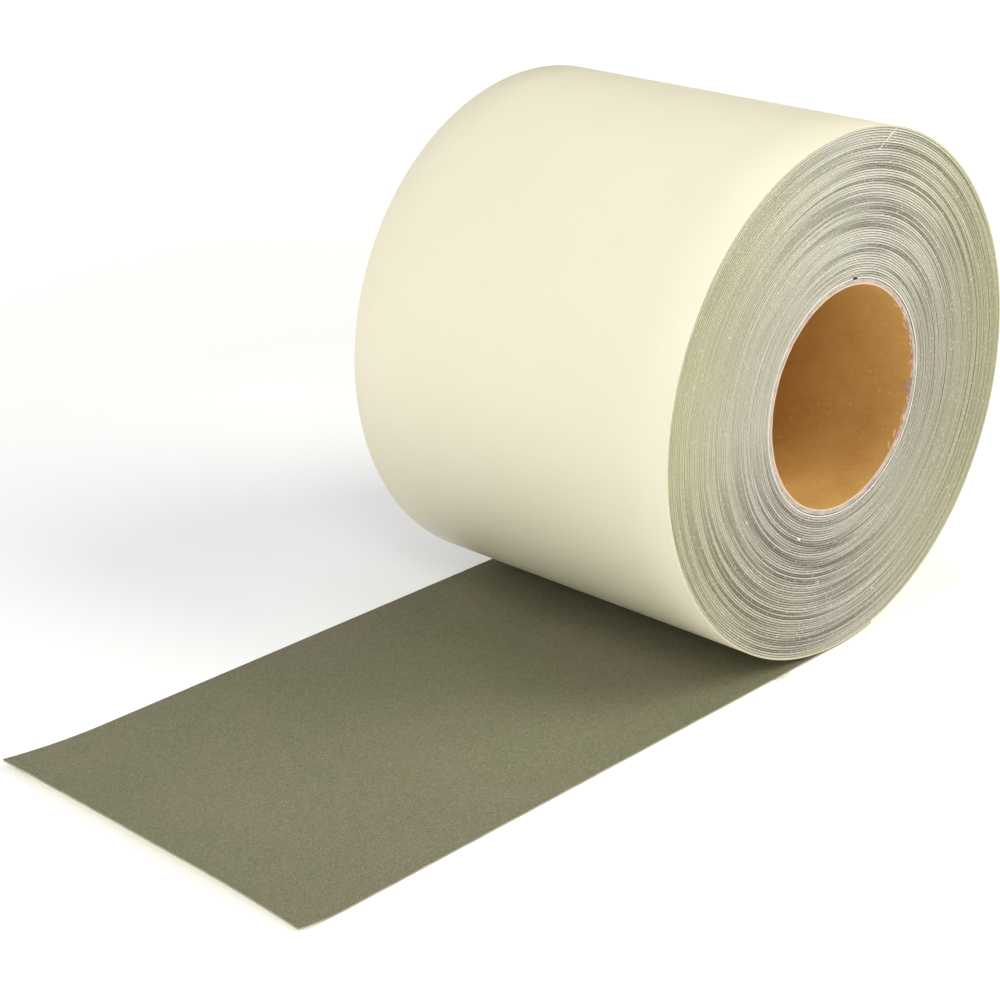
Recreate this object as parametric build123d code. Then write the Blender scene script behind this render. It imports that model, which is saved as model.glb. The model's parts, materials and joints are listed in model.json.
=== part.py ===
"""A wide roll of liner-backed masking tape with its free strip pulled out flat.

Millimetres. The origin is the centre of the core's bore, +Y runs along the bore and +Z is up.
The web leaves the roll at its lowest point, towards -X, with its grained facing up.
"""

import os
from math import cos, pi, radians, sin

from build123d import *

# Driving dimensions
WEB_WIDTH = 140.0
ROLL_RADIUS = 90.0
BORE_RADIUS = 38.1
PLY_THICKNESS = 0.45
AIR_BETWEEN_TURNS = 0.05
ROLL_ABOVE_STRIP = 0.15

# The web's layers, from the outside of the roll inwards
LAYERS = {
    "liner": 0.18,
    "adhesive": 0.16,
    "carrier": 0.30,
    "facing": 0.12,
}

# The core's plies, from the bore outwards
CORE_PLIES = ["core_inner_ply", "core_body_ply_1", "core_body_ply_2", "core_outer_ply"]

# Double-sided tape on top of the core, under the first stretch of the web
START_TAPE_THICKNESS = 0.1
START_TAPE_ARC = 36.0
START_TAPE_MARGIN = 1.0

# The free strip
STRIP_FLAT_LENGTH = 208.0
STRIP_TAIL_UNDER_ROLL = 20.0
CURL_RADIUS = 200.0
CURL_ANGLE = 11.0

# Derived sizes
WEB_THICKNESS = sum(LAYERS.values())
PITCH = WEB_THICKNESS + AIR_BETWEEN_TURNS
CORE_RADIUS = BORE_RADIUS + PLY_THICKNESS * len(CORE_PLIES)
WEB_START_RADIUS = CORE_RADIUS + START_TAPE_THICKNESS
TABLE_HEIGHT = -(ROLL_RADIUS + ROLL_ABOVE_STRIP + WEB_THICKNESS)


def across_the_web(profile, width=WEB_WIDTH):
    """Extrude a profile drawn in X and Z to a width centred on the origin."""
    return extrude(Plane.XZ * profile, amount=width / 2, both=True)


def core_ply(inner_radius):
    """One paper ply of the core, as a plain tube."""
    return across_the_web(Circle(inner_radius + PLY_THICKNESS) - Circle(inner_radius))


def start_tape():
    """The tape on the core that holds the start of the web."""
    start = 90 - START_TAPE_ARC
    inner = CenterArc((0, 0), CORE_RADIUS, start, START_TAPE_ARC)
    outer = CenterArc((0, 0), WEB_START_RADIUS, start, START_TAPE_ARC)
    sides = [Line(inner @ end, outer @ end) for end in (0, 1)]
    return across_the_web(make_face([inner, outer, *sides]), WEB_WIDTH - 2 * START_TAPE_MARGIN)


def closed_turn(depth, thickness):
    """A closed ring of the winding, at a depth below the roll's outer face.

    The real winding is a spiral. Closed turns keep the roll in balance, and its outside is the
    same however far the roll has been turned.
    """
    outer = ROLL_RADIUS - depth
    return across_the_web(Circle(outer) - Circle(outer - thickness))


def strip_edge(height):
    """The strip's line at a height above the table: tail, flat run, curl at the free end."""
    z = TABLE_HEIGHT + height
    flat = Line((STRIP_TAIL_UNDER_ROLL, z), (-STRIP_FLAT_LENGTH, z))
    centre = (-STRIP_FLAT_LENGTH, TABLE_HEIGHT + CURL_RADIUS)
    curl = CenterArc(centre, CURL_RADIUS - height, -90, -CURL_ANGLE)
    return flat, curl


def strip_layer(height, thickness):
    """One layer of the free strip."""
    low_flat, low_curl = strip_edge(height)
    high_flat, high_curl = strip_edge(height + thickness)
    tail_end = Line(low_flat @ 0, high_flat @ 0)
    free_end = Line(low_curl @ 1, high_curl @ 1)
    profile = make_face([low_flat, low_curl, high_flat, high_curl, tail_end, free_end])
    return across_the_web(profile)


def make_core():
    """The core's plies and the tape that holds the web's start."""
    nodes = {}
    for count, name in enumerate(CORE_PLIES):
        nodes[name] = core_ply(BORE_RADIUS + count * PLY_THICKNESS)
    nodes["core_start_tape"] = start_tape()
    return nodes


def make_web():
    """The turns below the outermost one, then each layer of that turn and of the free strip."""
    nodes = {"wound_turns": closed_turn(PITCH, ROLL_RADIUS - PITCH - WEB_START_RADIUS)}
    depth = 0.0
    for name, thickness in LAYERS.items():
        nodes[f"outer_turn_{name}"] = closed_turn(depth, thickness)
        nodes[f"strip_{name}"] = strip_layer(depth, thickness)
        depth += thickness
    return nodes


def print_sizes():
    """The sizes that follow from the driving dimensions."""
    turns = (ROLL_RADIUS - WEB_START_RADIUS) / PITCH
    wound_length = pi * (ROLL_RADIUS**2 - WEB_START_RADIUS**2) / PITCH
    reach = STRIP_FLAT_LENGTH + CURL_RADIUS * sin(radians(CURL_ANGLE))
    rise = CURL_RADIUS * (1 - cos(radians(CURL_ANGLE)))
    print(f"{turns:.1f} turns at a pitch of {PITCH:.2f}, {wound_length / 1000:.1f} m wound")
    print(f"table at {TABLE_HEIGHT:.2f}, free end at x {-reach:.1f}, curled up {rise:.2f}")


def main():
    os.makedirs("parts", exist_ok=True)
    for name, shape in {**make_core(), **make_web()}.items():
        export_step(shape, f"parts/{name}.step")
    print_sizes()


main()
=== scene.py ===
"""Looks for a wide roll of liner-backed masking tape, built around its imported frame.

Metres, +Z up. The roll's axis is Y through the origin, and the web leaves the roll at its lowest
point towards -X. Angles round the roll run from +X up towards +Z, seen from the near end at -Y.
"""

import json
from math import cos, pi, radians, sin, sqrt, tan

import bmesh
import bpy
import numpy as np
from mathutils import Matrix, Vector


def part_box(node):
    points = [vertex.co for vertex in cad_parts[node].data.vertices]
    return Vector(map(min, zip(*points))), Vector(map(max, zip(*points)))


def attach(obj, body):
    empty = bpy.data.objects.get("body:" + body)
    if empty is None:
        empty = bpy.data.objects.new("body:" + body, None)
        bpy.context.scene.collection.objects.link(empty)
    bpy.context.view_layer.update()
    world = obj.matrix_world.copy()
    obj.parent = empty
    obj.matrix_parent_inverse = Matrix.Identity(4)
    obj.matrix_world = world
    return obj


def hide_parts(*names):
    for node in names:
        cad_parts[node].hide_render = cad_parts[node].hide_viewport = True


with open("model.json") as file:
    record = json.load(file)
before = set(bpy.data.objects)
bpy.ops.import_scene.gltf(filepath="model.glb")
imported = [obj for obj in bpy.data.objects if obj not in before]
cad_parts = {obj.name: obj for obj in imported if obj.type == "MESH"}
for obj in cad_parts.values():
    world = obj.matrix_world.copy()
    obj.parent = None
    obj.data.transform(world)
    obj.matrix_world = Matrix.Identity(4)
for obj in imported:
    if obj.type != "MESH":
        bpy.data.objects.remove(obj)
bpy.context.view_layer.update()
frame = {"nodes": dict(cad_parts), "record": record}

MM = 0.001

# Sizes from the frame
ROLL_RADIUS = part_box("outer_turn_liner")[1].x
HALF_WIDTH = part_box("outer_turn_liner")[1].y
CORE_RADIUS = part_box("core_outer_ply")[1].x
BORE_RADIUS = frame["record"]["mounts"][0]["dims"]["r_mm"] * MM
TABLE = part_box("strip_liner")[0].z

# The web's layers from the outside of the roll inwards, in metres
LAYERS = {"liner": 0.18 * MM, "adhesive": 0.16 * MM, "carrier": 0.30 * MM, "facing": 0.12 * MM}
WEB = sum(LAYERS.values())

# The winding. The web's start shows as a notch in the innermost turn.
TURNS = 61
START_TAPE = 0.1 * MM
PITCH = (ROLL_RADIUS - CORE_RADIUS - START_TAPE - WEB) / (TURNS - 1)
START_ANGLE = radians(84)
START_NOTCH = radians(4)
RING_POINTS = 240
FLATTENING = 0.03 * MM

# The edges of the turns, against the nominal end of the roll
EDGE_DEPTH = 0.3 * MM
EDGE_MEAN = 0.22 * MM
EDGE_DRIFT = 0.07 * MM
EDGE_WAVE = 0.035 * MM
EDGE_LOWEST = 0.08 * MM
EDGE_HIGHEST = 0.5 * MM
EDGE_CROWN = 0.02 * MM
LINER_CORNER = 0.08 * MM
OUTER_ROUNDING = 0.05 * MM
LAYER_STEP = {"liner": 0.05 * MM, "adhesive": -0.03 * MM, "carrier": 0.0, "facing": -0.08 * MM}

# The core's near edge, torn on its right
PLY_RECESS = 0.1 * MM
TORN_HALF_ANGLE = radians(36)

# The free strip: its curl, the tail under the roll, and how far it is off square
STRIP_FLAT = 208 * MM
STRIP_LENGTH = 249.4 * MM
CURL_LIFT = 3.4 * MM
CORNER_DROP = 1.15 * MM
CORNER_TILT = 0.65 * MM
NEAR_CURL_START = 24 * MM
TAIL = 22 * MM
TAIL_RADIUS = -TABLE
SKEW = tan(radians(1.7))
CUT_SLANT = 0.012
LAYER_OVERHANG = {"liner": 0.12 * MM, "adhesive": -0.08 * MM, "carrier": 0.0, "facing": -0.02 * MM}

# Where the end face changes its tone, as distances from the axis. The last two are where the painted
# yellow shade at the end face's sides starts and where it reaches full strength.
TONE_EDGE = 0.1 * MM
OUTERMOST_TURN = 89.2 * MM
INNERMOST_TURN = 40.8 * MM
YELLOW_SHADE_FROM, YELLOW_SHADE_TO = 50 * MM, 82 * MM

# Marks on the near end: nicks on a slanting line, from the rim inwards
MARK_HEIGHT = 0.45 * MM
NICKS = 10
NICK_ANGLE, NICK_ANGLE_STEP = 76.3, 4.9
NICK_RADIUS, NICK_RADIUS_STEP = 88.8, 6.4

FLOOR_GAP = 0.05 * MM


# ---------------------------------------------------------------------------- meshes


def tube_faces(rows, loop, closed):
    """Quads of a lattice whose rows are closed loops. An open lattice gets capped ends."""
    index = np.arange(rows * loop).reshape(rows, loop)
    here, ahead = (index, np.roll(index, -1, 0)) if closed else (index[:-1], index[1:])
    quads = [np.stack([here, np.roll(here, -1, 1), np.roll(ahead, -1, 1), ahead], -1).reshape(-1, 4)]
    if not closed:
        half = loop // 2
        for row in (index[0], index[-1]):
            ends = row[half:][::-1]
            quads.append(np.stack([row[: half - 1], row[1:half], ends[1:], ends[:-1]], -1))
    return np.concatenate(quads)


def make_piece(name, tubes, material, body, closed=True):
    """One piece made of tubes of points, riding on a body."""
    points, faces, count = [], [], 0
    for tube in tubes:
        rows, loop = tube.shape[:2]
        faces.append(tube_faces(rows, loop, closed) + count)
        points.append(tube.reshape(-1, 3))
        count += rows * loop
    mesh = bpy.data.meshes.new(name)
    mesh.from_pydata(np.concatenate(points).tolist(), [], np.concatenate(faces).tolist())
    shell = bmesh.new()
    shell.from_mesh(mesh)
    bmesh.ops.recalc_face_normals(shell, faces=shell.faces)
    shell.to_mesh(mesh)
    shell.free()
    mesh.polygons.foreach_set("use_smooth", [True] * len(mesh.polygons))
    mesh.set_sharp_from_angle(angle=radians(35))
    mesh.materials.append(material)
    piece = bpy.data.objects.new(name, mesh)
    bpy.context.scene.collection.objects.link(piece)
    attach(piece, body)
    return piece


def ripple(angle, rng, waves, height):
    """A smooth random wave round a circle."""
    total = np.zeros_like(angle)
    for count in waves:
        total += rng.normal() * np.sin(count * angle + rng.uniform(0, 2 * pi))
    return height * total / sqrt(len(waves))


def ring(angle, section):
    """A tube round the Y axis. Its section is a list of (radius, y), numbers or arrays over angle."""
    columns = []
    for radius, y in section:
        radius = np.broadcast_to(radius, angle.shape)
        y = np.broadcast_to(y, angle.shape)
        columns.append(np.stack([radius * np.cos(angle), y, radius * np.sin(angle)], -1))
    return np.stack(columns, 1)


# ---------------------------------------------------------------------------- the winding

ROUND = np.linspace(0, 2 * pi, RING_POINTS, endpoint=False)


def out_of_round(angle):
    """How far the winding leaves a true circle: soft flats where it was handled."""
    return ripple(angle, np.random.default_rng(11), (2, 3, 5, 7, 11), FLATTENING)


def turn_radius(turn, angle):
    """The outer radius of a turn, where 0 is the outermost."""
    near_core = turn / (TURNS - 1)
    return ROLL_RADIUS - turn * PITCH + (1 - near_core) * out_of_round(angle)


def edge_heights(side):
    """How far each turn's edge stands past the nominal end, for every turn at one end."""
    rng = np.random.default_rng(40 + side)
    heights, drift = [], 0.0
    for turn in range(TURNS):
        drift = 0.75 * drift + rng.normal(0, EDGE_DRIFT)
        wave = ripple(ROUND, rng, (1, 2, 3, 5, 8, 13), EDGE_WAVE)
        heights.append((EDGE_MEAN + drift + wave).clip(EDGE_LOWEST, EDGE_HIGHEST))
    past_start = np.mod(START_ANGLE - ROUND, 2 * pi)
    heights[-1][past_start > 2 * pi - START_NOTCH] = -EDGE_DEPTH / 2
    return heights


EDGE_HEIGHTS = {side: edge_heights(side) for side in (-1, 1)}


def layer_depth(name):
    """A layer's depth below the web's outer face."""
    names = list(LAYERS)
    return sum(LAYERS[other] for other in names[: names.index(name)])


def turn_edges(name, side, material):
    """The edges of one layer of the inner turns, at one end of the roll."""
    tubes = []
    for turn in range(1, TURNS):
        outer = turn_radius(turn, ROUND) - layer_depth(name)
        inner = outer - LAYERS[name]
        if name == "liner":
            outer = outer - LINER_CORNER
        end = HALF_WIDTH + EDGE_HEIGHTS[side][turn] + LAYER_STEP[name]
        foot = HALF_WIDTH - EDGE_DEPTH
        shoulder = end - EDGE_CROWN
        section = [
            (inner, side * foot),
            (inner, side * shoulder),
            ((inner + outer) / 2, side * end),
            (outer, side * shoulder),
            (outer, side * foot),
        ]
        tubes.append(ring(ROUND, section))
    label = "near" if side < 0 else "far"
    make_piece(f"turn_edges_{label}_{name}", tubes, material, "roll")


def outer_turn(name, material):
    """One layer of the outermost turn, over the web's whole width."""
    outer = turn_radius(0, ROUND) - layer_depth(name)
    inner = outer - LAYERS[name]
    ends = {side: HALF_WIDTH + EDGE_HEIGHTS[side][0] + LAYER_STEP[name] for side in (-1, 1)}
    shoulder = outer - OUTER_ROUNDING / 2
    section = [(inner, -ends[-1]), (shoulder, -ends[-1]), (outer, OUTER_ROUNDING - ends[-1])]
    section += [(outer, share * HALF_WIDTH) for share in (-0.75, -0.5, -0.25, 0, 0.25, 0.5, 0.75)]
    section += [(outer, ends[1] - OUTER_ROUNDING), (shoulder, ends[1]), (inner, ends[1])]
    section += [(inner, share * HALF_WIDTH) for share in (0.5, 0, -0.5)]
    piece = make_piece(f"outer_turn_{name}_ring", [ring(ROUND, section)], material, "roll")
    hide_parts(f"outer_turn_{name}")


# ---------------------------------------------------------------------------- the core


def ply_edge(angle, rng, side):
    """The cut edge of a core ply, in Y: nearly flush, with fine roughness."""
    roughness = ripple(angle, rng, (1, 4, 9, 23, 41, 67), 0.05 * MM)
    return side * (HALF_WIDTH - PLY_RECESS + roughness)


def torn_depth(angle, rng):
    """How far the inner ply's near edge is torn back: in bites on the right, a little elsewhere."""
    from_right = np.mod(angle + pi, 2 * pi) - pi
    sector = np.exp(-((from_right / TORN_HALF_ANGLE) ** 4))
    bites = np.clip(ripple(angle, rng, (7, 11, 19, 31), 1.2) - 0.1, 0, 1.6)
    fray = np.abs(ripple(angle, rng, (47, 71, 97, 131, 173), 0.35))
    return (sector * (bites + fray) * 1.9 + 0.12 * fray) * MM


def core_ply(node, inner, outer, material, seed, torn=False):
    """One ply of the core, as a tube with slightly rough ends."""
    rng = np.random.default_rng(seed)
    angle = np.linspace(0, 2 * pi, 2 * RING_POINTS, endpoint=False)
    near, far = ply_edge(angle, rng, -1), ply_edge(angle, rng, 1)
    if torn:
        near = near + torn_depth(angle, rng)
    shares = (0.2, 0.4, 0.6, 0.8)
    section = [(inner, near), (outer, near)]
    section += [(outer, near + share * (far - near)) for share in shares]
    section += [(outer, far), (inner, far)]
    section += [(inner, far + share * (near - far)) for share in shares]
    piece = make_piece(f"{node}_tube", [ring(angle, section)], material, "roll")
    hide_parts(node)


# ---------------------------------------------------------------------------- the free strip


def strip_point(along, across, height):
    """A point of the strip: along it from under the roll, across it, and above its underside.

    Its free end curls up, most in the middle. The curl starts nearer the end on the near side.
    """
    side = across / HALF_WIDTH
    lift = CURL_LIFT - side**2 * (CORNER_DROP - CORNER_TILT * side)
    curl_start = STRIP_FLAT + NEAR_CURL_START * np.clip(-side, 0, 1) ** 2
    radius = (STRIP_LENGTH - curl_start) ** 2 / (2 * lift)
    bend = np.clip(along - curl_start, 0, None) / radius
    wrap = np.clip(-along, 0, None) / TAIL_RADIUS
    flat = np.clip(along, 0, curl_start)
    x = -flat - (radius - height) * np.sin(bend) + (TAIL_RADIUS - height) * np.sin(wrap)
    rise = radius - (radius - height) * np.cos(bend)
    tuck = (TAIL_RADIUS - height) * (1 - np.cos(wrap))
    y = across - SKEW * np.clip(along, 0, None)
    return np.stack([x, y, TABLE + rise + tuck], -1)


def strip_layer(name, base, material):
    """One layer of the free strip, over its whole length and width.

    The rows are metres under the roll, then shares of the free length. The unevenness of the cut
    end fades out along the strip.
    """
    rng = np.random.default_rng(70)
    share = np.linspace(0, 1, 41)
    across = (2 * share - 1) * HALF_WIDTH
    cut = ripple(share * 2, rng, (1, 2, 5, 9), 0.25 * MM)
    uneven = cut + LAYER_OVERHANG[name] - CUT_SLANT * across
    rows = np.concatenate([np.linspace(-TAIL, 0, 12)[:-1], np.linspace(0, 1, 90)])
    loops = []
    for row in rows:
        if row > 0:
            along = row * (STRIP_LENGTH + uneven * row**8)
        else:
            along = np.full_like(across, row)
        low = strip_point(along, across, base)
        high = strip_point(along, across, base + LAYERS[name])
        loops.append(np.concatenate([high, low[::-1]]))
    piece = make_piece(f"strip_{name}_sheet", [np.stack(loops)], material, "strip", closed=False)
    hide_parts(f"strip_{name}")
    return piece


# ---------------------------------------------------------------------------- flakes


def flake(start, along, across, length, width, thick, rng):
    """A small torn sliver: pointed at both ends, with a ragged outline."""
    along, across = Vector(along).normalized(), Vector(across).normalized()
    up = along.cross(across)
    loops = []
    for share in np.linspace(0, 1, 9):
        half = width / 2 * (0.08 + sin(pi * share) ** 0.7) * rng.uniform(0.7, 1.15)
        middle = Vector(start) + along * (share * length) + across * rng.normal(0, width * 0.08)
        lift = up * (thick * 0.5 + rng.normal(0, thick * 0.2))
        corners = ((-1, 1), (1, 1), (1, -1), (-1, -1))
        centre = middle + lift
        loops.append([centre + across * (half * a) + up * (thick / 2 * b) for a, b in corners])
    return np.array(loops)


# ---------------------------------------------------------------------------- materials


class Paint:
    """A Principled material with short ways to add the nodes used here."""

    def __init__(self, name, roughness, specular=0.5, coat=0.0, coat_roughness=0.3, sheen=0.0):
        self.material = bpy.data.materials.new(name)
        self.material.use_nodes = True
        self.tree = self.material.node_tree
        self.shader = self.tree.nodes["Principled BSDF"]
        self.set("Roughness", roughness)
        self.set("Specular IOR Level", specular)
        self.set("Coat Weight", coat)
        self.set("Coat Roughness", coat_roughness)
        self.set("Sheen Weight", sheen)
        self.place = self.node("ShaderNodeTexCoord").outputs["Object"]

    def set(self, socket, value):
        """Set one of the shader's own values."""
        self.shader.inputs[socket].default_value = value

    def node(self, kind, **settings):
        """A new node with its settings."""
        made = self.tree.nodes.new(kind)
        for key, value in settings.items():
            setattr(made, key, value)
        return made

    def feed(self, target, value):
        """Link a socket to a target, or give the target a plain value."""
        if isinstance(value, bpy.types.NodeSocket):
            self.tree.links.new(value, target)
        else:
            target.default_value = value

    def maths(self, operation, a, b=0.0, c=0.0):
        """One step of arithmetic on up to three values or sockets."""
        made = self.node("ShaderNodeMath", operation=operation)
        for target, value in zip(made.inputs, (a, b, c)):
            self.feed(target, value)
        return made.outputs[0]

    def scaled(self, x=1.0, y=1.0, z=1.0):
        """The place on the object, scaled along each axis."""
        made = self.node("ShaderNodeMapping")
        self.feed(made.inputs["Vector"], self.place)
        made.inputs["Scale"].default_value = (x, y, z)
        return made.outputs[0]

    def axis(self, name):
        """One coordinate of the place on the object."""
        split = self.node("ShaderNodeSeparateXYZ")
        self.feed(split.inputs[0], self.place)
        return split.outputs[name]

    def round_parts(self):
        """The direction round the roll, as its cosine and sine, and the radius."""
        x, z = self.axis("X"), self.axis("Z")
        squares = [self.maths("MULTIPLY", part, part) for part in (x, z)]
        radius = self.maths("SQRT", self.maths("ADD", *squares))
        cosine, sine = (self.maths("DIVIDE", part, radius) for part in (x, z))
        return cosine, sine, radius

    def joined(self, x, y, z):
        """A vector from three values or sockets."""
        made = self.node("ShaderNodeCombineXYZ")
        for target, value in zip(made.inputs, (x, y, z)):
            self.feed(target, value)
        return made.outputs[0]

    def polar(self, per_radian, per_metre):
        """Coordinates that change by per_radian round the roll and per_metre along its radius."""
        parts = zip(self.round_parts(), (per_radian, per_radian, per_metre))
        return self.joined(*(self.maths("MULTIPLY", part, size) for part, size in parts))

    def sector(self, centre, full, none):
        """1 within full degrees of a centre angle round the roll, falling to 0 at none degrees."""
        cosine, sine, _ = self.round_parts()
        along = self.maths("MULTIPLY", cosine, cos(radians(centre)))
        dot = self.maths("MULTIPLY_ADD", sine, sin(radians(centre)), along)
        return self.stretch(dot, cos(radians(none)), cos(radians(full)))

    def clear_sectors(self):
        """1 near the top and the lower left of the roll's end, where its lines show clearly."""
        return self.maths("MAXIMUM", self.sector(70, 16, 56), self.sector(242, 18, 58))

    def noise(self, scale, where=None, detail=3.0, rough=0.55, distortion=0.0):
        """Soft noise from 0 to 1, over the place on the object or other coordinates."""
        made = self.node("ShaderNodeTexNoise")
        self.feed(made.inputs["Vector"], where or self.place)
        made.inputs["Scale"].default_value = scale
        made.inputs["Detail"].default_value = detail
        made.inputs["Roughness"].default_value = rough
        made.inputs["Distortion"].default_value = distortion
        return made.outputs["Fac"]

    def cells(self, scale):
        """The distance to the nearest of many scattered points, for specks and grit."""
        made = self.node("ShaderNodeTexVoronoi")
        self.feed(made.inputs["Vector"], self.place)
        made.inputs["Scale"].default_value = scale
        return made.outputs["Distance"]

    def stretch(self, value, low, high, to_low=0.0, to_high=1.0):
        """A value spread from one range onto another, and held at its ends."""
        made = self.node("ShaderNodeMapRange")
        for socket, number in zip(made.inputs, (value, low, high, to_low, to_high)):
            self.feed(socket, number)
        return made.outputs[0]

    def blend(self, share, a, b, mode="MIX"):
        """Colour a with a share of colour b mixed or multiplied in."""
        made = self.node("ShaderNodeMix", data_type="RGBA", blend_type=mode)
        colours = [socket for socket in made.inputs if socket.type == "RGBA"]
        self.feed(made.inputs[0], share)
        for socket, value in zip(colours, (a, b)):
            self.feed(socket, value if isinstance(value, bpy.types.NodeSocket) else (*value, 1))
        return next(socket for socket in made.outputs if socket.type == "RGBA")

    def colour(self, value):
        """Give the shader its colour."""
        self.feed(self.shader.inputs["Base Color"], value)

    def rough(self, value):
        """Give the shader a roughness that varies."""
        self.feed(self.shader.inputs["Roughness"], value)

    def bump(self, heights):
        """Bumps on the surface, as (height, strength, distance) from coarse to fine."""
        normal = None
        for height, strength, distance in heights:
            made = self.node("ShaderNodeBump")
            made.inputs["Strength"].default_value = strength
            made.inputs["Distance"].default_value = distance
            self.feed(made.inputs["Height"], height)
            if normal is not None:
                self.feed(made.inputs["Normal"], normal)
            normal = made.outputs[0]
        self.feed(self.shader.inputs["Normal"], normal)


def liner_face():
    """The release liner's face: smooth cream paper with a silicone sheen."""
    paint = Paint("liner_face", 0.42, specular=0.35, coat=0.14, coat_roughness=0.45)
    clouds = paint.noise(14, detail=4)
    fibres = paint.noise(900, paint.scaled(1, 0.35, 1), detail=5, rough=0.7)
    tone = paint.blend(paint.stretch(clouds, 0.3, 0.7), (0.835, 0.785, 0.59), (0.86, 0.81, 0.63))
    tone = paint.blend(paint.stretch(fibres, 0.35, 0.75, 0, 0.2), tone, (0.90, 0.87, 0.72))
    specks = paint.stretch(paint.cells(420), 0.05, 0.0, 0, 0.35)
    paint.colour(paint.blend(specks, tone, (0.62, 0.58, 0.38)))
    paint.rough(paint.stretch(paint.noise(60, detail=4), 0.3, 0.7, 0.38, 0.5))
    waves = paint.noise(1.0, paint.scaled(26, 6, 26), detail=2)
    paint.bump([(waves, 0.25, 1.2 * MM), (fibres, 0.12, 0.05 * MM)])
    return paint.material


def turn_noise(paint):
    """Noise that changes from turn to turn, and only slowly round the roll."""
    cosine, sine, radius = paint.round_parts()
    depth = paint.maths("SUBTRACT", ROLL_RADIUS, radius)
    turn = paint.maths("FLOOR", paint.maths("DIVIDE", depth, PITCH))
    apart = paint.maths("MULTIPLY", turn, 7.3)
    return paint.noise(1.0, paint.joined(cosine, sine, apart), detail=1)


def line_share(paint, line):
    """How clearly a layer shows as a line: mostly in the clear sectors, in places elsewhere."""
    wide = paint.noise(1.0, paint.polar(1.6, 130), detail=3)
    haze_gaps = paint.stretch(wide, 0.45, 0.65, 0.08, 0.35)
    clear = paint.maths("MULTIPLY_ADD", paint.clear_sectors(), 0.9, haze_gaps)
    return paint.maths("MINIMUM", paint.maths("MULTIPLY", clear, line), 1.0)


def painted_shade_and_rim(paint, tone):
    """Painted shade on the end face: yellower at its sides, darker on its right and below. Also a pale
    rim on the outermost turn.
    """
    cosine, _, radius = paint.round_parts()
    # Painted shade: a yellow tint, stronger outwards and towards the left and right sides
    out = paint.stretch(radius, YELLOW_SHADE_FROM, YELLOW_SHADE_TO)
    aside = paint.stretch(paint.maths("ABSOLUTE", cosine), 0.15, 0.9)
    yellow_shade = paint.maths("MULTIPLY_ADD", paint.maths("MULTIPLY", out, aside), 0.55, 0.10)
    tone = paint.blend(yellow_shade, tone, (0.97, 1.0, 0.66), "MULTIPLY")
    # Painted shade: darker on the end face's right, and below it to the left
    tone = paint.blend(paint.sector(-4, 14, 66), tone, (0.78, 0.78, 0.76), "MULTIPLY")
    tone = paint.blend(paint.sector(248, 16, 70), tone, (0.82, 0.80, 0.80), "MULTIPLY")
    rim = paint.stretch(radius, OUTERMOST_TURN - TONE_EDGE, OUTERMOST_TURN + TONE_EDGE, 0, 0.45)
    return paint.blend(rim, tone, (0.84, 0.81, 0.52))


def edge_paint(name, haze, light, dark, line, light_start=True):
    """A cut edge of one layer on the roll's ends.

    Most of the end is hazy with smeared adhesive. In two sectors the layers show as clear lines,
    where this one is as strong as line says, in some turns more than in others. The innermost turn
    is cream, unless light_start is off.
    """
    paint = Paint(name, 0.8, specular=0.25)
    streaks = paint.noise(1.0, paint.polar(1.2, 1500), detail=3, rough=0.6)
    grain = paint.noise(1500, detail=4, rough=0.8)
    flecks = paint.noise(900, detail=2, rough=0.6)
    lines = paint.blend(paint.stretch(turn_noise(paint), 0.46, 0.64), light, dark)
    tone = paint.blend(line_share(paint, line), haze, lines)
    tone = paint.blend(paint.stretch(streaks, 0.45, 0.68, 0, 0.3), tone, dark)
    # Painted shade by place on the end face: yellower at its sides, darker on its right and below
    tone = painted_shade_and_rim(paint, tone)
    if light_start:
        _, _, radius = paint.round_parts()
        inside = paint.stretch(radius, INNERMOST_TURN + TONE_EDGE, INNERMOST_TURN - TONE_EDGE, 0, 0.85)
        tone = paint.blend(inside, tone, (0.86, 0.83, 0.74))
    shade = tuple(0.42 * value for value in haze)
    tone = paint.blend(paint.stretch(grain, 0.53, 0.72, 0, 0.5), tone, shade)
    paint.colour(paint.blend(paint.stretch(flecks, 0.58, 0.70, 0, 0.42), tone, (0.90, 0.88, 0.78)))
    paint.bump([(grain, 0.5, 0.1 * MM), (streaks, 0.3, 0.06 * MM)])
    return paint.material


def edge_paints():
    """The cut edges of the four layers on the roll's ends, by layer."""
    tones = {
        "liner": ((0.65, 0.62, 0.53), (0.95, 0.92, 0.83), (0.50, 0.475, 0.40)),
        "adhesive": ((0.50, 0.475, 0.39), (0.26, 0.245, 0.20), (0.10, 0.095, 0.07)),
        "carrier": ((0.62, 0.59, 0.50), (0.86, 0.83, 0.74), (0.36, 0.34, 0.28)),
    }
    paints = {name: edge_paint(f"{name}_edge", *three, line=1.0) for name, three in tones.items()}
    three = (0.28, 0.265, 0.20), (0.03, 0.028, 0.02), (0.012, 0.011, 0.008)
    paints["facing"] = edge_paint("facing_edge", *three, line=1.7, light_start=False)
    return paints


def cut_paint(name, light, dark):
    """A cut edge of one layer along the free strip."""
    paint = Paint(name, 0.75, specular=0.25)
    grain = paint.noise(1400, detail=4, rough=0.75)
    runs = paint.noise(1.0, paint.scaled(120, 120, 1500), detail=3)
    tone = paint.blend(paint.stretch(runs, 0.35, 0.65), light, dark)
    shade = tuple(0.6 * value for value in dark)
    paint.colour(paint.blend(paint.stretch(grain, 0.5, 0.72, 0, 0.5), tone, shade))
    paint.bump([(grain, 0.4, 0.08 * MM)])
    return paint.material


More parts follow.
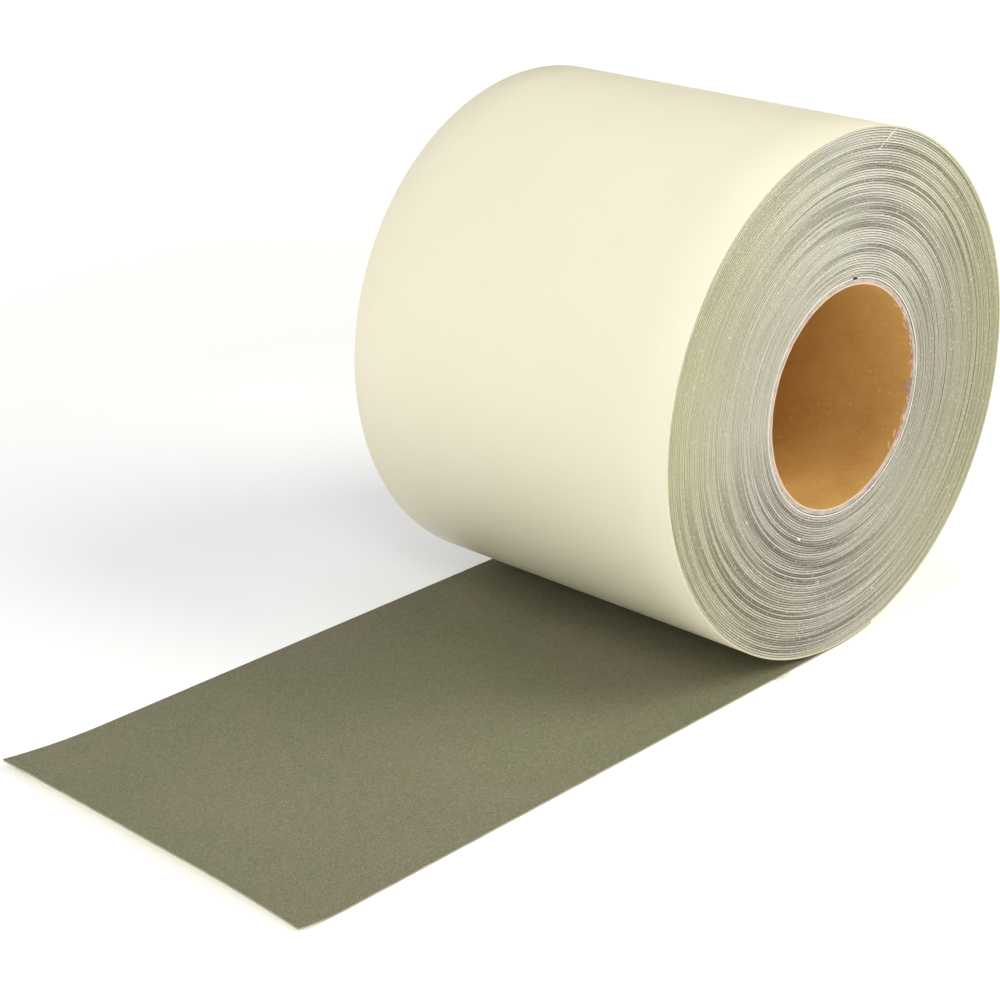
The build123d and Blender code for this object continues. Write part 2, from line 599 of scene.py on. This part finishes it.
def grained_face():
    """The web's inner face: matt olive-grey with a fine, even grain."""
    paint = Paint("grained_face", 0.72, specular=0.35, sheen=0.05)
    fine = paint.noise(1500, detail=4, rough=0.8)
    coarse = paint.noise(420, detail=3, rough=0.6)
    patches = paint.noise(22, detail=4, rough=0.55, distortion=0.4)
    base = paint.blend(paint.stretch(patches, 0.35, 0.65), (0.200, 0.182, 0.112), (0.168, 0.172, 0.092))
    base = paint.blend(paint.stretch(coarse, 0.35, 0.7, 0, 0.35), base, (0.25, 0.235, 0.15))
    base = paint.blend(paint.stretch(fine, 0.47, 0.28, 0, 0.85), base, (0.055, 0.052, 0.03))
    base = paint.blend(paint.stretch(fine, 0.53, 0.72, 0, 0.7), base, (0.42, 0.40, 0.29))
    grit = paint.stretch(paint.cells(1100), 0.16, 0.05, 0, 0.6)
    paint.colour(paint.blend(grit, base, (0.46, 0.44, 0.33)))
    paint.rough(paint.stretch(fine, 0.3, 0.7, 0.62, 0.85))
    paint.bump([(coarse, 0.3, 0.25 * MM), (fine, 0.7, 0.2 * MM)])
    return paint.material


def kraft():
    """The core's lining: smooth brown kraft paper with fine mottling, paler at its cut ends."""
    paint = Paint("kraft_lining", 0.5, specular=0.4, coat=0.08, coat_roughness=0.4)
    mottle = paint.noise(85, detail=5, rough=0.65)
    fibres = paint.noise(1.0, paint.scaled(1300, 260, 1300), detail=5, rough=0.7)
    tone = paint.blend(paint.stretch(mottle, 0.3, 0.7), (0.575, 0.315, 0.085), (0.675, 0.42, 0.135))
    tone = paint.blend(paint.stretch(fibres, 0.35, 0.7, 0, 0.35), tone, (0.78, 0.52, 0.20))
    specks = paint.stretch(paint.cells(520), 0.09, 0.0, 0, 0.75)
    tone = paint.blend(specks, tone, (0.16, 0.07, 0.02))
    pale = paint.stretch(paint.noise(700, detail=2), 0.66, 0.74, 0, 0.6)
    tone = paint.blend(pale, tone, (0.86, 0.66, 0.38))
    from_middle = paint.maths("ABSOLUTE", paint.axis("Y"))
    cut = paint.stretch(from_middle, HALF_WIDTH - 0.6 * MM, HALF_WIDTH - 0.3 * MM, 0, 0.85)
    paint.colour(paint.blend(cut, tone, (0.80, 0.62, 0.50)))
    paint.rough(paint.stretch(mottle, 0.3, 0.7, 0.42, 0.6))
    paint.bump([(mottle, 0.25, 0.25 * MM), (fibres, 0.3, 0.06 * MM)])
    return paint.material


def board(name, light, dark):
    """A core ply's board: recycled paper, rough and dusty with adhesive where it is cut."""
    paint = Paint(name, 0.85, specular=0.2)
    grain = paint.noise(1400, detail=4, rough=0.75)
    patches = paint.noise(1.0, paint.polar(9, 900), detail=4, rough=0.7)
    tone = paint.blend(paint.stretch(patches, 0.42, 0.58), light, dark)
    paint.colour(paint.blend(paint.stretch(grain, 0.5, 0.75, 0, 0.5), tone, (0.22, 0.15, 0.11)))
    paint.bump([(grain, 0.6, 0.12 * MM)])
    return paint.material


def tissue():
    """The start tape: thin tissue with adhesive."""
    paint = Paint("start_tissue", 0.5, specular=0.4)
    fibres = paint.noise(900, detail=4)
    paint.colour(paint.blend(paint.stretch(fibres, 0.3, 0.7), (0.74, 0.70, 0.58), (0.82, 0.79, 0.70)))
    paint.bump([(fibres, 0.3, 0.04 * MM)])
    return paint.material


def crevice_shade():
    """The ends of the winding between the edges of the turns: painted shade of the gaps between them,
    near black in the clear sectors and smeared paler outside them.
    """
    paint = Paint("turn_crevice", 0.9, specular=0.15)
    streaks = paint.noise(1.0, paint.polar(3, 1200), detail=4)
    # Painted shade: near black, for the shadow down in the gaps between the turns
    painted_gap_shade = paint.blend(paint.stretch(streaks, 0.35, 0.65), (0.02, 0.019, 0.013), (0.07, 0.066, 0.045))
    paint.colour(paint.blend(paint.clear_sectors(), (0.42, 0.40, 0.32), painted_gap_shade))
    paint.bump([(streaks, 0.4, 0.1 * MM)])
    return paint.material


def torn_paper(name, light, dark):
    """Loose slivers of paper and film."""
    paint = Paint(name, 0.7, specular=0.3)
    fibres = paint.noise(1800, detail=4, rough=0.7)
    paint.colour(paint.blend(paint.stretch(fibres, 0.35, 0.7), light, dark))
    paint.bump([(fibres, 0.4, 0.05 * MM)])
    return paint.material


# ---------------------------------------------------------------------------- building


def build_roll(paints):
    """The outermost turn, and the edges of the others at both ends."""
    for name in LAYERS:
        outer_turn(name, paints["face"] if name == "liner" else paints[name])
        for side in (-1, 1):
            turn_edges(name, side, paints[name])


def build_core(paints):
    """The core's four plies, from the bore outwards. Only the lining is torn."""
    nodes = ["core_inner_ply", "core_body_ply_1", "core_body_ply_2", "core_outer_ply"]
    ply = (CORE_RADIUS - BORE_RADIUS) / len(nodes)
    looks = ["kraft", "board_pink", "board_grey", "board_grey"]
    slots = ["kraft_paper", "core_board", "core_board", "kraft_paper"]
    for count, (node, look, slot) in enumerate(zip(nodes, looks, slots)):
        inner = BORE_RADIUS + count * ply
        core_ply(node, inner, inner + ply, paints[look], seed=90 + count, torn=count == 0)


def build_strip(paints):
    """The free strip's four layers, from the table upwards, as one laid sheet."""
    base = 0.0
    for name, thickness in LAYERS.items():
        look = {"liner": "face", "facing": "grain"}.get(name, f"strip_{name}")
        strip_layer(name, base, paints[look])
        base += thickness


def outward(angle):
    """The direction away from the roll's axis, at an angle in degrees."""
    return Vector((cos(radians(angle)), 0, sin(radians(angle))))


def end_place(angle, radius):
    """A place just off the near end, at an angle in degrees and a radius in millimetres."""
    return outward(angle) * (radius * MM) - Vector((0, HALF_WIDTH + MARK_HEIGHT, 0))


def build_end_flakes(material):
    """Nicks across the outer turns near the top, and a few chips of film between the turns."""
    rng = np.random.default_rng(301)
    tubes = []
    out = Vector((0, -1, 0))
    for share in np.linspace(0, 1, NICKS):
        place = end_place(NICK_ANGLE + NICK_ANGLE_STEP * share, NICK_RADIUS - NICK_RADIUS_STEP * share)
        along = outward(160)
        length = rng.uniform(0.9, 1.5) * MM
        tubes.append(flake(place, along, along.cross(out), length, 0.5 * MM, 0.12 * MM, rng))
    chips = [(-118.6, 48.4, 2.6, 0.8), (-100, 63, 1.2, 0.4), (150, 71, 1.0, 0.4), (20, 74, 1.1, 0.4)]
    chips += [(-38, 80, 1.2, 0.4), (120, 55, 0.9, 0.35), (-150, 58, 1.0, 0.4), (-75, 77, 1.3, 0.4)]
    for angle, radius, length, width in chips:
        along = outward(angle + 70)
        sizes = (length * MM, width * MM, 0.15 * MM)
        tubes.append(flake(end_place(angle, radius), along, along.cross(out), *sizes, rng))
    make_piece("end_flakes", tubes, material, "roll", closed=False)


def build_core_fibres(material):
    """Torn fibres of the core's lining along its near edge, on the right."""
    rng = np.random.default_rng(302)
    tubes = []
    for angle in (-44, -33, -24, -15, -6, 4, 13, 21, 30, 41):
        turned = radians(angle + rng.uniform(-3, 3))
        inner = BORE_RADIUS - 0.12 * MM
        depth = rng.uniform(0.2, 1.4) * MM
        place = Vector((inner * cos(turned), -HALF_WIDTH + depth, inner * sin(turned)))
        round_bore = Vector((-sin(turned), rng.uniform(-0.5, 0.5), cos(turned)))
        length = rng.uniform(1.8, 4.2) * MM
        tubes.append(flake(place, round_bore, Vector((0, 1, 0)), length, 0.75 * MM, 0.1 * MM, rng))
    make_piece("core_lining_fibres", tubes, material, "roll", closed=False)


def build_strip_flakes(material):
    """A scrap of liner at the strip's near edge by the roll, and a burr under its cut end."""
    rng = np.random.default_rng(303)
    low = TABLE + 0.25 * MM
    edge = Vector((-1, -SKEW, 0))
    scrap = Vector((-25 * MM, -HALF_WIDTH - 1.2 * MM, low))
    tubes = [flake(scrap, edge, Vector((0, 1, 0)), 9 * MM, 1.8 * MM, 0.18 * MM, rng)]
    cut = Vector((CUT_SLANT, 1, 0))
    burr = Vector((-STRIP_LENGTH + 1.2 * MM, 0.052, TABLE + 2.3 * MM))
    tubes.append(flake(burr, cut, Vector((1, 0, -0.6)), 5 * MM, 1.4 * MM, 0.15 * MM, rng))
    make_piece("strip_scraps", tubes, material, "strip", closed=False)


def paint_node(node, material):
    """Give a node that is carried over from the frame its material."""
    target = frame["nodes"][node]
    target.data.materials.clear()
    target.data.materials.append(material)


# ---------------------------------------------------------------------------- stage


def make_floor():
    """A wide pale floor at the strip's underside, lit from within like a studio sweep far away."""
    mesh = bpy.data.meshes.new("floor")
    size = 12.0
    corners = [(-size, -size), (size, -size), (size, size), (-size, size)]
    mesh.from_pydata([(x, y, TABLE - FLOOR_GAP) for x, y in corners], [], [(0, 1, 2, 3)])
    paint = Paint("floor", 0.9, specular=0.1)
    paint.colour(paint.blend(paint.noise(3), (0.93, 0.93, 0.93), (0.95, 0.95, 0.95)))
    paint.set("Emission Color", (1, 1, 1, 1))
    away = paint.node("ShaderNodeVectorMath", operation="LENGTH")
    paint.feed(away.inputs[0], paint.place)
    glow = paint.stretch(away.outputs["Value"], 0.35, 1.4, 0.18, 0.86)
    paint.feed(paint.shader.inputs["Emission Strength"], glow)
    mesh.materials.append(paint.material)
    floor = bpy.data.objects.new("floor", mesh)
    bpy.context.scene.collection.objects.link(floor)


def make_light(name, place, size, power, tint):
    """A soft disk of light that faces the origin. Its size is in metres and its power in watts."""
    lamp = bpy.data.lights.new(name, "AREA")
    lamp.shape = "DISK"
    lamp.size = size
    lamp.energy = power
    lamp.color = tint
    holder = bpy.data.objects.new(name, lamp)
    holder.location = place
    holder.rotation_mode = "QUATERNION"
    holder.rotation_quaternion = (-Vector(place)).to_track_quat("-Z", "Y")
    bpy.context.scene.collection.objects.link(holder)


def make_world(strength):
    """A white surround that lights the part by strength alone."""
    world = bpy.data.worlds.new("studio")
    world.use_nodes = True
    tree = world.node_tree
    background = tree.nodes["Background"]
    background.inputs["Color"].default_value = (1.0, 0.995, 0.97, 1)
    seen = tree.nodes.new("ShaderNodeLightPath").outputs["Is Camera Ray"]
    level = tree.nodes.new("ShaderNodeMapRange")
    tree.links.new(seen, level.inputs["Value"])
    level.inputs["To Min"].default_value = strength
    level.inputs["To Max"].default_value = 1.05
    tree.links.new(level.outputs["Result"], background.inputs["Strength"])
    bpy.context.scene.world = world


def make_camera():
    """The camera, from the azimuth, elevation, roll, distance and focal length of the view."""
    azimuth, elevation, roll = radians(-45.68), radians(21.41), radians(-0.33)
    target, distance = Vector((-0.09103, 0, -0.02902)), 0.8089
    back = Vector((sin(azimuth) * cos(elevation), -cos(azimuth) * cos(elevation), sin(elevation)))
    data = bpy.data.cameras.new("camera")
    data.sensor_width = 36.0
    data.lens = 88.92
    data.clip_start, data.clip_end = 0.01, 50
    camera = bpy.data.objects.new("camera", data)
    camera.rotation_mode = "QUATERNION"
    turn = (-back).to_track_quat("-Z", "Y").to_matrix() @ Matrix.Rotation(roll, 3, "Z")
    camera.rotation_quaternion = turn.to_quaternion()
    camera.location = target + back * distance
    bpy.context.scene.collection.objects.link(camera)
    bpy.context.scene.camera = camera


def make_paints():
    """Every material that the pieces use, by the name of its look."""
    return {
        **edge_paints(),
        "face": liner_face(),
        "grain": grained_face(),
        "strip_adhesive": cut_paint("strip_adhesive_edge", (0.30, 0.29, 0.21), (0.18, 0.175, 0.12)),
        "strip_carrier": cut_paint("strip_carrier_edge", (0.52, 0.51, 0.42), (0.36, 0.35, 0.28)),
        "scrap": torn_paper("liner_scrap", (0.93, 0.92, 0.84), (0.74, 0.72, 0.62)),
        "fibre": torn_paper("kraft_fibre", (0.90, 0.72, 0.50), (0.70, 0.48, 0.30)),
        "kraft": kraft(),
        "board_pink": board("core_board_pink", (0.66, 0.48, 0.38), (0.42, 0.36, 0.33)),
        "board_grey": board("core_board_grey", (0.62, 0.565, 0.49), (0.44, 0.395, 0.35)),
    }


def make_lights():
    """Soft disks overhead, on the left and in front."""
    make_light("top", (0.0, 0.0, 1.4), 0.7, 4.0, (0.95, 0.97, 1.0))
    make_light("left", (-1.4, 0.1, 0.6), 0.9, 7.6, (0.93, 0.94, 0.91))
    make_light("top_left", (-0.8, 0.0, 1.2), 0.6, 2.0, (0.94, 0.96, 1.0))
    make_light("key", (-0.9, -0.9, 1.0), 0.6, 4.9, (0.99, 0.985, 1.0))
    make_light("front_right", (0.7, -1.0, 1.0), 1.0, 16.5, (1.0, 0.98, 0.90))


def main():
    """Build and paint the pieces, then set up the stage, the lights and the camera."""
    paints = make_paints()
    build_roll(paints)
    build_core(paints)
    build_strip(paints)
    build_end_flakes(paints["scrap"])
    build_core_fibres(paints["fibre"])
    build_strip_flakes(paints["scrap"])
    # The wound turns' body shows between the turns' edges and carries the painted gap shade
    paint_node("wound_turns", crevice_shade())
    paint_node("core_start_tape", tissue())
    make_floor()
    make_world(0.2)
    make_lights()
    make_camera()
    bpy.context.scene.view_settings.view_transform = "Standard"


main()
